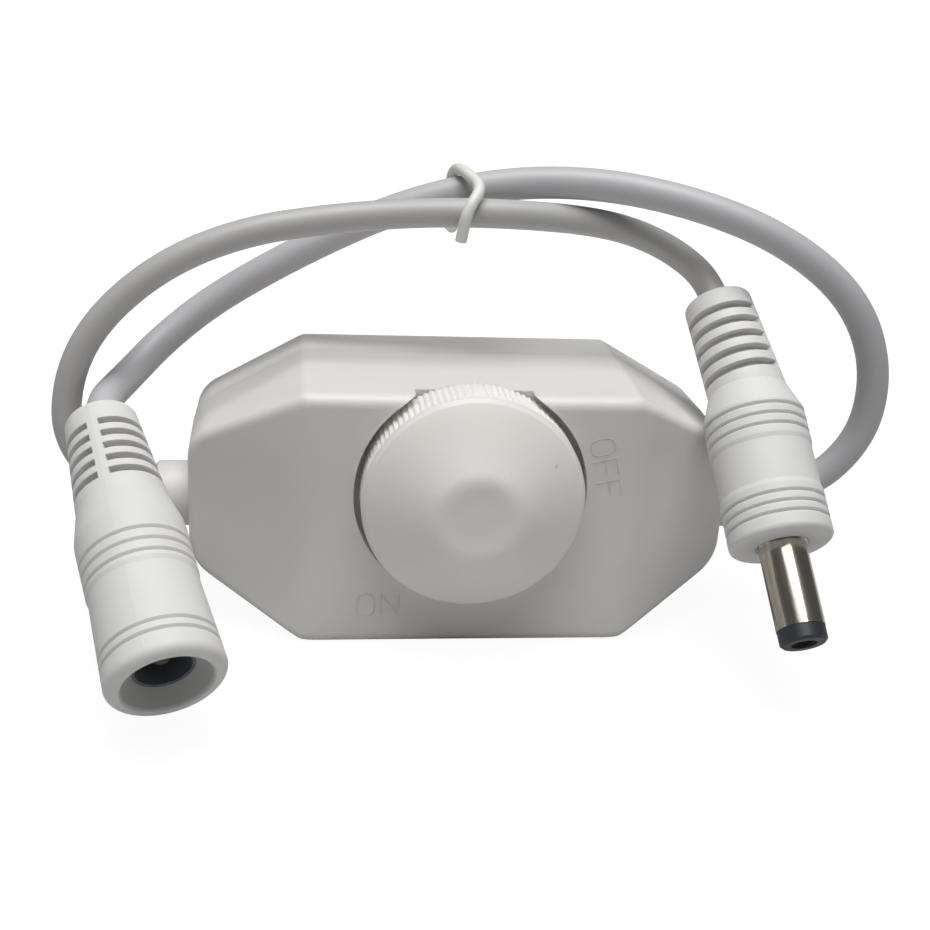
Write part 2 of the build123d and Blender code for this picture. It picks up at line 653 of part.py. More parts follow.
def inner_lead(side, index):
    """Insulated lead from the cord's inner end to its pad on the board."""
    pad_x = side * (BOARD_LENGTH / 2 - PAD_INSET)
    spread = COLLAR_Y + index * LEAD_SPACING / 2
    package = CHIP_WIDTH + 2 * CHIP_PIN_REACH if side > 0 else TRANSISTOR_WIDTH
    low_edge = package + PACKAGE_GAP - BOARD_WIDTH / 2
    if side > 0:
        low_edge = max(low_edge, POST_R - SCREW_OFFSET)
    pad_y = low_edge + PAD_CLEARANCE + LEAD_D / 2 + (index + 1) * PAD_SPACING / 2
    points = [
        (side * (END_X + CORD_SEAT), spread, COLLAR_Z),
        (side * (END_X - WALL - LEAD_RISE), spread, COLLAR_Z),
        (side * (SCREW_X + BOARD_LENGTH / 2) / 2, (spread + pad_y) / 2, COLLAR_Z - LEAD_D),
        (pad_x, pad_y, BOARD_TOP_Z + LEAD_RISE),
        (pad_x, pad_y, BOARD_TOP_Z),
    ]
    return tube(points, LEAD_D)


def collar(side, cord_d):
    """Strain relief bush: inner flange, neck in the wall, outer collar."""
    bore = cord_d / 2 + CORD_FIT
    inside = END_X - WALL - COLLAR_CLEARANCE
    outside = END_X + COLLAR_CLEARANCE
    tail = outside + COLLAR_LENGTH
    profile = Polygon(
        (inside - COLLAR_FLANGE, bore), (inside - COLLAR_FLANGE, COLLAR_R), (inside, COLLAR_R),
        (inside, COLLAR_NECK_R), (outside, COLLAR_NECK_R), (outside, COLLAR_R),
        (tail - COLLAR_EDGE, COLLAR_R), (tail, COLLAR_R - COLLAR_EDGE), (tail, bore), align=None)
    bush = revolve(profile, Axis.X)
    if side < 0:
        bush = mirror(bush, Plane.YZ)
    return Pos(0, COLLAR_Y, COLLAR_Z) * bush


def ring_cut(radius, place):
    """Shallow V groove round a moulded body."""
    notch = Polygon((radius - RING_DEPTH, place), (radius + RING_DEPTH, place - RING_WIDTH),
                    (radius + RING_DEPTH, place + RING_WIDTH), align=None)
    return revolve(Plane.XZ * notch, Axis.Z)


def sleeve_slots(first, pitch, rear_r, front_r, length):
    """Rows of flex slots on both sides of two ribs, along a tapered sleeve."""
    cuts = []
    for index in range(SLOT_COUNT):
        place = first + index * pitch
        outer = rear_r + (front_r - rear_r) * place / length
        reach = 2 * outer
        ring = post(reach, 0, 0, place - SLOT_WIDTH / 2, place + SLOT_WIDTH / 2)
        ring -= post(outer - SLOT_DEPTH, 0, 0, place - SLOT_WIDTH / 2, place + SLOT_WIDTH / 2)
        ring -= block(2 * reach, SLEEVE_RIB, place - SLOT_WIDTH, place + SLOT_WIDTH)
        cuts.append(ring)
    return cuts


def connector_plane(rear, direction, rib_side):
    """Axes of a connector: z towards its open end, x towards one rib."""
    axis = direction.normalized()
    across = (rib_side - axis * rib_side.dot(axis)).normalized()
    return Plane(rear, x_dir=across, z_dir=axis)


JACK_REAR = Vector(-END_X - JACK_ASIDE, MIDDLE_Z - FRONT_DEPTH + JACK_BEHIND_FACE, JACK_RISE)
PLUG_JOINT = Vector(END_X + PLUG_ASIDE, MIDDLE_Z - FRONT_DEPTH + PLUG_BEHIND_FACE, PLUG_RISE)
JACK_PLANE = connector_plane(JACK_REAR, JACK_DIRECTION, JACK_RIB_SIDE)
PLUG_PLANE = connector_plane(PLUG_JOINT, PLUG_DIRECTION, PLUG_RIB_SIDE)
PLUG_REAR = PLUG_JOINT - PLUG_SLEEVE_DIRECTION.normalized() * PLUG_SLEEVE_LENGTH
PLUG_SLEEVE_PLANE = connector_plane(PLUG_REAR, PLUG_SLEEVE_DIRECTION, PLUG_RIB_SIDE)


def jack_body():
    """Soft moulded body of the jack with its slotted sleeve."""
    shoulder = JACK_SLEEVE_LENGTH + JACK_SHOULDER
    waist = JACK_RING_ZONE_END + RING_WIDTH
    profile = Polygon(
        (0, 0), (JACK_SLEEVE_REAR_R, 0), (JACK_SLEEVE_FRONT_R, JACK_SLEEVE_LENGTH),
        (JACK_SHOULDER_R, shoulder), (JACK_SHOULDER_R, JACK_RING_ZONE_END), (JACK_BODY_R, waist),
        (JACK_MOUTH_R, JACK_LENGTH), (0, JACK_LENGTH), align=None)
    profile = fillet(profile.vertices().filter_by(lambda v: v.X > WALL and v.Y < RING_WIDTH), SLEEVE_EDGE)
    mouth = profile.vertices().filter_by(lambda v: v.X > WALL and v.Y > JACK_LENGTH - RING_WIDTH)
    profile = fillet(mouth, JACK_MOUTH_EDGE)
    bend = profile.vertices().filter_by(lambda v: v.X > WALL and abs(v.Y - shoulder) < RING_WIDTH)
    profile = fillet(bend, JACK_SHOULDER)
    body = revolve(Plane.XZ * profile, Axis.Z)
    for cut in sleeve_slots(JACK_FIRST_SLOT, JACK_SLOT_PITCH, JACK_SLEEVE_REAR_R, JACK_SLEEVE_FRONT_R,
                            JACK_SLEEVE_LENGTH):
        body -= cut
    for place in JACK_RINGS:
        body -= ring_cut(JACK_SHOULDER_R, place)
    spread = (JACK_MOUTH_R - JACK_BODY_R) / (JACK_LENGTH - waist)
    for place in JACK_MOUTH_RINGS:
        body -= ring_cut(JACK_BODY_R + spread * (place - waist), place)
    throat = JACK_LENGTH - JACK_RECESS
    flare = Polygon((0, throat), (JACK_THROAT_R, throat), (JACK_FLARE_R, JACK_LENGTH), (0, JACK_LENGTH),
                    align=None)
    body -= revolve(Plane.XZ * flare, Axis.Z)
    body -= post(JACK_BORE_R, 0, 0, throat - INSULATOR_LENGTH, throat)
    body -= post(INPUT_CORD_D / 2 + CORD_FIT, 0, 0, 0, SOCKET_DEPTH)
    return JACK_PLANE * body


def jack_insulator():
    """Black insert with the socket that takes a plug's barrel."""
    front = JACK_LENGTH - JACK_RECESS - INSULATOR_FIT
    body = post(JACK_BORE_R - INSULATOR_FIT, 0, 0, front - INSULATOR_LENGTH + 2 * INSULATOR_FIT, front)
    body -= post(SOCKET_R, 0, 0, front - SOCKET_LENGTH, front)
    body -= post(PIN_R + INSULATOR_FIT, 0, 0, front - SOCKET_LENGTH - PIN_ROOT, front)
    slot = block(SPRING_SLOT, SPRING_WIDTH + 2 * INSULATOR_FIT, front - SOCKET_LENGTH, front, SOCKET_R)
    return JACK_PLANE * (body - slot)


def jack_centre_pin():
    """Round-nosed centre contact of the jack."""
    front = JACK_LENGTH - JACK_RECESS - INSULATOR_FIT
    pin = post(PIN_R, 0, 0, front - SOCKET_LENGTH - PIN_ROOT, front - PIN_SINK)
    return JACK_PLANE * fillet(pin.edges().sort_by(Axis.Z)[-1], PIN_R / 2)


def jack_spring():
    """Leaf contact that presses on the side of a plug's barrel."""
    front = JACK_LENGTH - JACK_RECESS - INSULATOR_FIT
    leaf = block(SPRING_THICKNESS, SPRING_WIDTH, front - SOCKET_LENGTH, front - PIN_SINK,
                 SOCKET_R + SPRING_THICKNESS)
    return JACK_PLANE * leaf


def plug_sleeve():
    """Slotted sleeve of the plug, run a little way into the body's shoulder."""
    root = PLUG_SLEEVE_LENGTH + PLUG_SHOULDER / 2
    profile = Polygon(
        (0, 0), (PLUG_SLEEVE_REAR_R, 0), (PLUG_SLEEVE_FRONT_R, PLUG_SLEEVE_LENGTH),
        (PLUG_SLEEVE_FRONT_R, root), (0, root), align=None)
    profile = fillet(profile.vertices().filter_by(lambda v: v.X > WALL and v.Y < RING_WIDTH), SLEEVE_EDGE)
    sleeve = revolve(Plane.XZ * profile, Axis.Z)
    for cut in sleeve_slots(PLUG_FIRST_SLOT, PLUG_SLOT_PITCH, PLUG_SLEEVE_REAR_R, PLUG_SLEEVE_FRONT_R,
                            PLUG_SLEEVE_LENGTH):
        sleeve -= cut
    return sleeve - post(OUTPUT_CORD_D / 2 + CORD_FIT, 0, 0, 0, SOCKET_DEPTH)


def plug_body():
    """Soft moulded body of the plug with its slotted sleeve."""
    ring_end = PLUG_RINGS[-1] + 2 * RING_WIDTH
    nose = PLUG_NOSE_RINGS[0] - 2 * RING_WIDTH
    root = -PLUG_SHOULDER / 3
    root_r = PLUG_SLEEVE_FRONT_R - (PLUG_BODY_R - PLUG_SLEEVE_FRONT_R) / 3
    profile = Polygon(
        (0, root), (root_r, root), (PLUG_BODY_R, PLUG_SHOULDER), (PLUG_BODY_R, ring_end),
        (PLUG_WAIST_R, ring_end + RING_WIDTH), (PLUG_WAIST_R, nose - RING_WIDTH), (PLUG_BODY_R, nose),
        (PLUG_BODY_R, PLUG_BODY_LENGTH), (0, PLUG_BODY_LENGTH), align=None)
    tip = profile.vertices().filter_by(lambda v: v.X > WALL and v.Y > PLUG_BODY_LENGTH - RING_WIDTH)
    profile = fillet(tip, PLUG_NOSE_EDGE)
    bend = profile.vertices().filter_by(lambda v: v.X > WALL and abs(v.Y - PLUG_SHOULDER) < RING_WIDTH / 2)
    profile = fillet(bend, PLUG_NOSE_EDGE)
    body = revolve(Plane.XZ * profile, Axis.Z)
    for place in PLUG_RINGS + PLUG_NOSE_RINGS:
        body -= ring_cut(PLUG_BODY_R, place)
    body -= post(BARREL_R + BARREL_STEP + INSULATOR_FIT, 0, 0, BARREL_START, PLUG_BODY_LENGTH)
    return PLUG_PLANE * body + PLUG_SLEEVE_PLANE * plug_sleeve()


def plug_barrel():
    """Rolled metal barrel with its lengthwise seam."""
    barrel = post(BARREL_R, 0, 0, BARREL_START, BARREL_END)
    barrel += post(BARREL_R + BARREL_STEP, 0, 0, BARREL_START, PLUG_BODY_LENGTH)
    barrel -= post(BARREL_R - BARREL_WALL, 0, 0, BARREL_START, BARREL_END)
    seam = block(BARREL_R, BARREL_SEAM, PLUG_BODY_LENGTH, BARREL_END, -BARREL_R)
    return PLUG_PLANE * (barrel - seam)


def plug_tip_insulator():
    """Black sleeve inside the barrel with a ring at the tip."""
    sleeve_r = BARREL_R - BARREL_WALL - INSULATOR_FIT
    sleeve = post(sleeve_r, 0, 0, BARREL_START, BARREL_END)
    ring = post(BARREL_R - TIP_STEP, 0, 0, BARREL_END, BARREL_END + TIP_LENGTH)
    ring = chamfer(ring.edges().sort_by(Axis.Z)[-1], TIP_EDGE)
    bore = post(sleeve_r - TIP_WALL, 0, 0, BARREL_START, BARREL_END + TIP_LENGTH)
    return PLUG_PLANE * (sleeve + ring - bore)


def plug_inner_contact():
    """Thin tube inside the insulator that takes a jack's centre pin."""
    outer_r = BARREL_R - BARREL_WALL - TIP_WALL - 2 * INSULATOR_FIT
    tube_end = BARREL_END + TIP_LENGTH - CONTACT_SINK
    contact = post(outer_r, 0, 0, BARREL_START, tube_end)
    return PLUG_PLANE * (contact - post(outer_r - CONTACT_WALL, 0, 0, BARREL_START, tube_end))


def collar_points(side, lead_out):
    """End of a cord in its collar and the point where it starts to bend."""
    start = END_X + CORD_SEAT
    across = MIDDLE_Z - COLLAR_Z
    height = HALF_WIDTH + COLLAR_Y
    return [(side * start, across, height), (side * (start + lead_out), across, height)]


def connector_points(rear, direction, lead_in):
    """Point before a connector and the end of the cord in its socket."""
    axis = direction.normalized()
    return [tuple(rear - axis * lead_in), tuple(rear + axis * SOCKET_DEPTH)]


def cord(name, points, diameter):
    """Cord as a plain tube, with its radii and volume printed for comparison."""
    solid = tube(points, diameter)
    path = FilletPolyline(*points, radius=arc_radii(points))
    section = math.pi * diameter * diameter / 4
    print(name, "radii", [round(radius, 1) for radius in arc_radii(points)])
    ratio = solid.volume / (section * path.length)
    print(name, "length", round(path.length, 1), "volume ratio", round(ratio, 4))
    return solid


OUTPUT_PATH = collar_points(-1, OUTPUT_LEAD_OUT) + OUTPUT_ROUTE
OUTPUT_PATH += connector_points(PLUG_REAR, PLUG_SLEEVE_DIRECTION, OUTPUT_LEAD_IN)
INPUT_PATH = collar_points(1, INPUT_LEAD_OUT) + INPUT_ROUTE
INPUT_PATH += connector_points(JACK_REAR, JACK_DIRECTION, INPUT_LEAD_IN)

PIECES = {
    "front_cover": stand(front_cover()),
    "rear_cover": stand(rear_cover()),
    "housing_screws": stand(housing_screws()),
    "knob": stand(knob()),
    "pot_shaft": stand(pot_shaft()),
    "pot_rotor": stand(pot_rotor()),
    "pot_wiper": stand(pot_wiper()),
    "pot_case": stand(pot_case()),
    "pot_bushing": stand(pot_bushing()),
    "pot_wafer": stand(pot_wafer()),
    "pot_terminals": stand(pot_terminals()),
    "switch_base": stand(switch_base()),
    "switch_terminals": stand(switch_terminals()),
    "circuit_board": stand(circuit_board()),
    "filter_capacitor": stand(filter_capacitor()),
    "power_transistor": stand(power_transistor()),
    "timer_chip": stand(timer_chip()),
    "guard_diode": stand(guard_diode()),
    "chip_resistors": stand(chip_resistors()),
    "chip_capacitors": stand(chip_capacitors()),
    "output_lead_live": stand(inner_lead(-1, 1)),
    "output_lead_return": stand(inner_lead(-1, -1)),
    "input_lead_live": stand(inner_lead(1, 1)),
    "input_lead_return": stand(inner_lead(1, -1)),
    "output_collar": stand(collar(-1, OUTPUT_CORD_D)),
    "input_collar": stand(collar(1, INPUT_CORD_D)),
    "output_cord": cord("output_cord", OUTPUT_PATH, OUTPUT_CORD_D),
    "input_cord": cord("input_cord", INPUT_PATH, INPUT_CORD_D),
    "twist_tie": tube(TIE_ROUTE, TIE_D),
    "jack_body": jack_body(),
    "jack_insulator": jack_insulator(),
    "jack_centre_pin": jack_centre_pin(),
    "jack_spring": jack_spring(),
    "plug_body": plug_body(),
    "plug_barrel": plug_barrel(),
    "plug_tip_insulator": plug_tip_insulator(),
    "plug_inner_contact": plug_inner_contact(),
}

for name, shape in PIECES.items():
    export_step(shape, f"parts/{name}.step")
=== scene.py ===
import bpy
import json
import math
from mathutils import Matrix, Vector


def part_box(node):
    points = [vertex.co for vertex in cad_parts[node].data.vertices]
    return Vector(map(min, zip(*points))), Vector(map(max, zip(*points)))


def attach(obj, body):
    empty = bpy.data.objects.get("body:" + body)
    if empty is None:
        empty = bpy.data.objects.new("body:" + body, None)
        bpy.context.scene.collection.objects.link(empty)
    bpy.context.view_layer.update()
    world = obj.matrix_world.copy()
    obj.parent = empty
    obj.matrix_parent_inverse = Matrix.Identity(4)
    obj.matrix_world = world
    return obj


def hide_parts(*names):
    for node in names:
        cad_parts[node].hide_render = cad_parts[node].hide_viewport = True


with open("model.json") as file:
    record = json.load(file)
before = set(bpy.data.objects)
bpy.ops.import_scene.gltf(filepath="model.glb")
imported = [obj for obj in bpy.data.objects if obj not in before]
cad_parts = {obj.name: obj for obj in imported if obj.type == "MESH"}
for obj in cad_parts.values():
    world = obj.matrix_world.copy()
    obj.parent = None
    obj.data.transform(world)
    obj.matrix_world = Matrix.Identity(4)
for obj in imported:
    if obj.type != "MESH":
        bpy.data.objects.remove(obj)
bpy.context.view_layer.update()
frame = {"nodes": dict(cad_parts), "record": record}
nodes = frame["nodes"]
MM = 0.001

scene = bpy.context.scene
scene.view_settings.view_transform = "Standard"
scene.cycles.max_bounces = 10
scene.cycles.diffuse_bounces = 7

# Camera, fitted to the photo. The angles turn the housing's own axes (x along it, y up it, z out of its
# face) into the camera's.
CAMERA_PLACE = (-0.02192, -0.15704, 0.08455)
TILT = math.radians(22.18)
SWING = math.radians(8.04)
ROLL = math.radians(-3.48)
turned = Matrix.Rotation(ROLL, 3, "Z") @ Matrix.Rotation(TILT, 3, "X") @ Matrix.Rotation(SWING, 3, "Y")
upright = Matrix(((1, 0, 0), (0, 0, -1), (0, 1, 0)))
look = (upright @ turned.transposed()).to_4x4()
camera_data = bpy.data.cameras.new("camera")
camera_data.sensor_width = 36.0
camera_data.lens = 54.19
camera_data.clip_start = 0.005
camera = bpy.data.objects.new("camera", camera_data)
camera.matrix_world = Matrix.Translation(CAMERA_PLACE) @ look
scene.collection.objects.link(camera)
scene.camera = camera

# Places taken from the record: the middle of the jack's mouth and the direction of the plug's barrel
JACK_RECESS = 2.05
mounts = {mount["name"]: mount for mount in frame["record"]["mounts"]}
socket = mounts["jack_socket"]
JACK_MOUTH = Vector(socket["pos_m"]) + Vector(socket["axis"]) * JACK_RECESS * MM
BARREL_AXIS = mounts["plug_barrel"]["axis"]

# Specks of dirt, painted shade inside the jack's mouth and painted shade in recesses, as sizes in metres
# and shares of the paint's brightness
# Painted shade inside the jack's mouth: radius and share of brightness
MOUTH_R = 0.005
MOUTH_SHADE = 0.6
SPECK_SHADE = 0.7
SOFT_EDGE = 0.0003
# Reach of the painted shade in recesses, in metres
RECESS_SHADE_REACH = 0.004
# Two specks of dirt on the knob, as place and radius
KNOB_SPECKS = [((0.0089, -0.013, 0.0251), 0.00032), ((0.0098, -0.0121, 0.0128), 0.00018)]


# Shader parts
def tree_of(name):
    """New node material, with its tree and its surface shader."""
    material = bpy.data.materials.new(name)
    material.use_nodes = True
    tree = material.node_tree
    shader = tree.nodes["Principled BSDF"]
    return material, tree, shader


def place(tree):
    """Position in object space."""
    return tree.nodes.new("ShaderNodeTexCoord").outputs["Object"]


def vector_math(tree, operation, first):
    """Vector operation on a first input."""
    node = tree.nodes.new("ShaderNodeVectorMath")
    node.operation = operation
    tree.links.new(first, node.inputs[0])
    return node


def grain_at(tree, vector, scale, detail, rough):
    """Noise at a position, scale in features per metre."""
    grain = tree.nodes.new("ShaderNodeTexNoise")
    grain.inputs["Scale"].default_value = scale
    grain.inputs["Detail"].default_value = detail
    grain.inputs["Roughness"].default_value = rough
    tree.links.new(vector, grain.inputs["Vector"])
    return grain.outputs["Fac"]


def noise(tree, scale, detail=3.0, rough=0.55):
    """Noise in object space."""
    return grain_at(tree, place(tree), scale, detail, rough)


def drawn_and_painted_streaks(tree, scale, axis, stretch=0.94):
    """Noise stretched along an axis: drawing marks on a metal tube, and painted reflection streaks."""
    where = place(tree)
    along = vector_math(tree, "PROJECT", where)
    along.inputs[1].default_value = axis
    most = vector_math(tree, "SCALE", along.outputs["Vector"])
    most.inputs["Scale"].default_value = stretch
    squeezed = vector_math(tree, "SUBTRACT", where)
    tree.links.new(most.outputs["Vector"], squeezed.inputs[1])
    return grain_at(tree, squeezed.outputs["Vector"], scale, 5.0, 0.65)


def ramp(tree, fac, low, high, start=0.3, end=0.7):
    """Two-colour ramp over a factor."""
    node = tree.nodes.new("ShaderNodeValToRGB")
    node.color_ramp.elements[0].position = start
    node.color_ramp.elements[1].position = end
    node.color_ramp.elements[0].color = (*low, 1)
    node.color_ramp.elements[1].color = (*high, 1)
    tree.links.new(fac, node.inputs["Fac"])
    return node.outputs["Color"]


def span(tree, fac, low, high, start=0.0, end=1.0):
    """Factor between a start and an end mapped to a range of values."""
    node = tree.nodes.new("ShaderNodeMapRange")
    node.inputs["From Min"].default_value = start
    node.inputs["From Max"].default_value = end
    node.inputs["To Min"].default_value = low
    node.inputs["To Max"].default_value = high
    tree.links.new(fac, node.inputs["Value"])
    return node.outputs["Result"]


def bump(tree, shader, fac, strength, depth):
    """Bump from a factor, depth in metres."""
    node = tree.nodes.new("ShaderNodeBump")
    node.inputs["Strength"].default_value = strength
    node.inputs["Distance"].default_value = depth
    tree.links.new(fac, node.inputs["Height"])
    tree.links.new(node.outputs["Normal"], shader.inputs["Normal"])


def tint(color, share):
    """Colour made lighter or darker by a share."""
    return tuple(min(1.0, channel * share) for channel in color)


def clouded(tree, fac, color, spread):
    """Colour that varies by a spread over a factor."""
    return ramp(tree, fac, tint(color, 1 - spread), tint(color, 1 + spread))


def darkened(tree, paint, share):
    """Paint multiplied by a share."""
    mix = tree.nodes.new("ShaderNodeMix")
    mix.data_type = "RGBA"
    mix.blend_type = "MULTIPLY"
    mix.inputs[0].default_value = 1.0
    tree.links.new(paint, mix.inputs[6])
    tree.links.new(share, mix.inputs[7])
    return mix.outputs[2]


def painted_recess_shade(tree, paint, deepest):
    """Painted shade in recesses: the paint darkens where the surface is closed in."""
    closed = tree.nodes.new("ShaderNodeAmbientOcclusion")
    closed.samples = 4
    closed.inputs["Distance"].default_value = RECESS_SHADE_REACH
    return darkened(tree, paint, span(tree, closed.outputs["AO"], deepest, 1.0))


def speck_and_painted_shade(tree, paint, centre, radius, shade):
    """Darker paint within a radius of a point: a speck of dirt, and painted shade inside the jack's mouth.
    """
    far = vector_math(tree, "DISTANCE", place(tree))
    far.inputs[1].default_value = centre
    clear = span(tree, far.outputs["Value"], shade, 1.0, max(0.0, radius - SOFT_EDGE), radius)
    return darkened(tree, paint, clear)


def seen_directly(tree):
    """One for rays from the camera or through something clear, zero for the rest."""
    path = tree.nodes.new("ShaderNodeLightPath")
    seen = tree.nodes.new("ShaderNodeMath")
    seen.operation = "MAXIMUM"
    tree.links.new(path.outputs["Is Camera Ray"], seen.inputs[0])
    tree.links.new(path.outputs["Is Transmission Ray"], seen.inputs[1])
    return seen.outputs[0]


# Kinds of material
def moulded(name, color, rough, grain=2600.0, depth=0.00003, strength=0.25, spread=0.03, specular=0.5,
            glow=0.0, reach=0.0012, specks=(), recess_shade=0.0, mouth=None):
    """Moulded plastic: mould texture, slight cloudiness and uneven gloss, with specks of dirt, painted
    shade in recesses and painted shade inside a mouth if given.
    """
    material, tree, shader = tree_of(name)
    paint = clouded(tree, noise(tree, 90.0, 4.0), color, spread)
    for centre, radius in specks:
        paint = speck_and_painted_shade(tree, paint, centre, radius, SPECK_SHADE)
    # Painted shade in recesses, from ambient occlusion
    if recess_shade:
        paint = painted_recess_shade(tree, paint, 1 - recess_shade)
    # Painted shade inside the mouth, centred on the given point
    if mouth:
        paint = speck_and_painted_shade(tree, paint, mouth, MOUTH_R, MOUTH_SHADE)
    tree.links.new(paint, shader.inputs["Base Color"])
    gloss = span(tree, noise(tree, 420.0), rough - 0.05, rough + 0.06)
    tree.links.new(gloss, shader.inputs["Roughness"])
    bump(tree, shader, noise(tree, grain, 2.0), strength, depth)
    shader.inputs["Specular IOR Level"].default_value = specular
    if glow:
        shader.inputs["Subsurface Weight"].default_value = glow
        shader.inputs["Subsurface Radius"].default_value = (reach, reach * 0.97, reach * 0.94)
        shader.inputs["Subsurface Scale"].default_value = 1.0
    return material


def metal(name, color, rough, streak=900.0, spread=0.06, axis=None):
    """Plated metal, faintly tarnished, with fine drawing marks. Given an axis, its colour is streaked along
    it: drawing marks and painted reflection streaks.
    """
    material, tree, shader = tree_of(name)
    shader.inputs["Metallic"].default_value = 1.0
    # Given an axis, the tone is streaked along it: partly drawing marks, partly painted reflection streaks
    tarnish_and_painted_streaks = noise(tree, 500.0, 4.0) if axis is None else drawn_and_painted_streaks(tree, 800.0, axis)
    tree.links.new(clouded(tree, tarnish_and_painted_streaks, color, spread), shader.inputs["Base Color"])
    gloss = span(tree, noise(tree, streak, 5.0, 0.7), rough * 0.7, rough * 1.4)
    tree.links.new(gloss, shader.inputs["Roughness"])
    bump(tree, shader, noise(tree, streak * 2, 2.0), 0.12, 0.00002)
    return material


def laminate(name, low, high, rough):
    """Board laminate with a faint weave."""
    material, tree, shader = tree_of(name)
    weave = tree.nodes.new("ShaderNodeTexWave")
    weave.inputs["Scale"].default_value = 700.0
    weave.inputs["Distortion"].default_value = 1.5
    tree.links.new(place(tree), weave.inputs["Vector"])
    threads = weave.outputs["Fac"]
    tree.links.new(ramp(tree, threads, low, high, 0.2, 0.8), shader.inputs["Base Color"])
    tree.links.new(span(tree, noise(tree, 600.0), rough - 0.05, rough + 0.1), shader.inputs["Roughness"])
    bump(tree, shader, threads, 0.15, 0.00003)
    return material


# Materials, one for each slot of the record
MATERIALS = {
    "housing_plastic": moulded("housing_plastic", (0.78, 0.757, 0.731), 0.42, spread=0.015, glow=0.3),
    "rear_plastic": moulded("rear_plastic", (0.81, 0.795, 0.765), 0.45, spread=0.015, glow=0.2),
    "knob_plastic": moulded("knob_plastic", (0.91, 0.88, 0.846), 0.4, grain=3200.0, depth=0.00002,
                            spread=0.015, specular=0.35, glow=0.7, reach=0.0016, specks=KNOB_SPECKS),
    "collar_plastic": moulded("collar_plastic", (0.80, 0.78, 0.755), 0.45),
    "screw_steel": metal("screw_steel", (0.56, 0.56, 0.58), 0.35),
    "pot_steel": metal("pot_steel", (0.62, 0.62, 0.62), 0.32),
    "shaft_plastic": moulded("shaft_plastic", (0.78, 0.76, 0.70), 0.4),
    "spring_metal": metal("spring_metal", (0.80, 0.60, 0.32), 0.28),
    "laminate": laminate("laminate", (0.30, 0.16, 0.07), (0.42, 0.24, 0.11), 0.55),
    "terminal_metal": metal("terminal_metal", (0.72, 0.71, 0.68), 0.3),
    "board_laminate": laminate("board_laminate", (0.02, 0.16, 0.06), (0.03, 0.22, 0.09), 0.4),
    "capacitor_can": metal("capacitor_can", (0.66, 0.67, 0.7), 0.3),
    "package_plastic": moulded("package_plastic", (0.03, 0.03, 0.033), 0.5, spread=0.2),
    "chip_ceramic": moulded("chip_ceramic", (0.40, 0.31, 0.21), 0.6, spread=0.12),
    "live_lead": moulded("live_lead", (0.55, 0.03, 0.03), 0.4, spread=0.08),
    "return_lead": moulded("return_lead", (0.03, 0.03, 0.03), 0.4, spread=0.2),
    "output_cord_sheath": moulded("output_cord_sheath", (0.50, 0.494, 0.486), 0.42, grain=1800.0,
                                  spread=0.02),
    "input_cord_sheath": moulded("input_cord_sheath", (0.53, 0.522, 0.541), 0.42, grain=1800.0,
                                 spread=0.02),
    "tie_plastic": moulded("tie_plastic", (0.82, 0.82, 0.77), 0.38, grain=1800.0),
    # Connector plastic: painted shade in its recesses and painted shade inside the jack's mouth
    "connector_plastic": moulded("connector_plastic", (0.765, 0.76, 0.742), 0.55, grain=2000.0,
                                 strength=0.35, spread=0.02, glow=0.35, recess_shade=0.2, mouth=JACK_MOUTH),
    "insulator_plastic": moulded("insulator_plastic", (0.034, 0.041, 0.05), 0.42, spread=0.2),
    "contact_metal": metal("contact_metal", (0.62, 0.58, 0.51), 0.22, spread=0.14),
}
# Nodes that look different from the rest of their slot
OWN_MATERIALS = {
    "jack_insulator": moulded("socket_plastic", (0.13, 0.15, 0.175), 0.42, spread=0.2),
    "jack_centre_pin": metal("pin_metal", (0.16, 0.14, 0.11), 0.45),
    # The barrel's strong streaks along its axis are partly drawing marks and partly painted reflection
    # streaks
    "plug_barrel": metal("barrel_metal", (0.62, 0.575, 0.495), 0.2, spread=0.3, axis=BARREL_AXIS),
}
for part in frame["record"]["subparts"]:
    node_materials = nodes[part["node"]].data.materials
    node_materials.clear()
    node_materials.append(OWN_MATERIALS.get(part["node"], MATERIALS[part["material_slot"]]))


# Cords, along the routes of their tubes
def cord(name, points, diameter, slot, node):
    """Smooth round cord through its route's control points, in millimetres."""
    curve = bpy.data.curves.new(name, "CURVE")
    curve.dimensions = "3D"
    curve.bevel_depth = diameter * MM / 2
    curve.bevel_resolution = 8
    curve.resolution_u = 16
    curve.use_fill_caps = True
    line = curve.splines.new("NURBS")
    line.points.add(len(points) - 1)
    for spot, point in zip(line.points, points):
        spot.co = (*(value * MM for value in point), 1.0)
    line.order_u = 3
    line.use_endpoint_u = True
    curve.materials.append(MATERIALS[slot])
    piece = bpy.data.objects.new(name, curve)
    scene.collection.objects.link(piece)
    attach(piece, "housing")
    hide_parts(node)
    return piece


OUTPUT_CORD_D = 3.5
INPUT_CORD_D = 3.9
OUTPUT_ROUTE = [
    (-33.1, 4.0, 14.3), (-42.1, 4.0, 14.3), (-47.9, 5.0, 20.5), (-47.4, 5.6, 28.6),
    (-43.7, 6.1, 35.7), (-36.1, 6.7, 42.3), (-26.8, 7.3, 46.3), (-16.5, 7.7, 48.1),
    (-5.5, 7.8, 49.2), (5.5, 7.9, 49.3), (16.6, 10.4, 48.1), (23.4, 10.8, 46.2),
    (28.5, 8.8, 43.5), (30.77, 6.71, 40.82), (31.38, 3.91, 38.33),
]
INPUT_ROUTE = [
    (33.1, 4.0, 14.3), (44.4, 4.0, 14.3), (51.8, 3.2, 22.1), (51.7, 1.7, 32.5),
    (46.9, 1.1, 41.8), (37.5, 2.2, 48.5), (26.7, 5.6, 51.9), (15.3, 9.6, 53.1),
    (3.7, 12.5, 52.0), (-7.7, 13.9, 48.6), (-18.8, 14.9, 43.0), (-30.0, 16.3, 36.0),
    (-36.7, 14.2, 30.9), (-40.8, 9.0, 27.5), (-43.6, 1.7, 26.2), (-42.42, -2.1, 24.19),
]
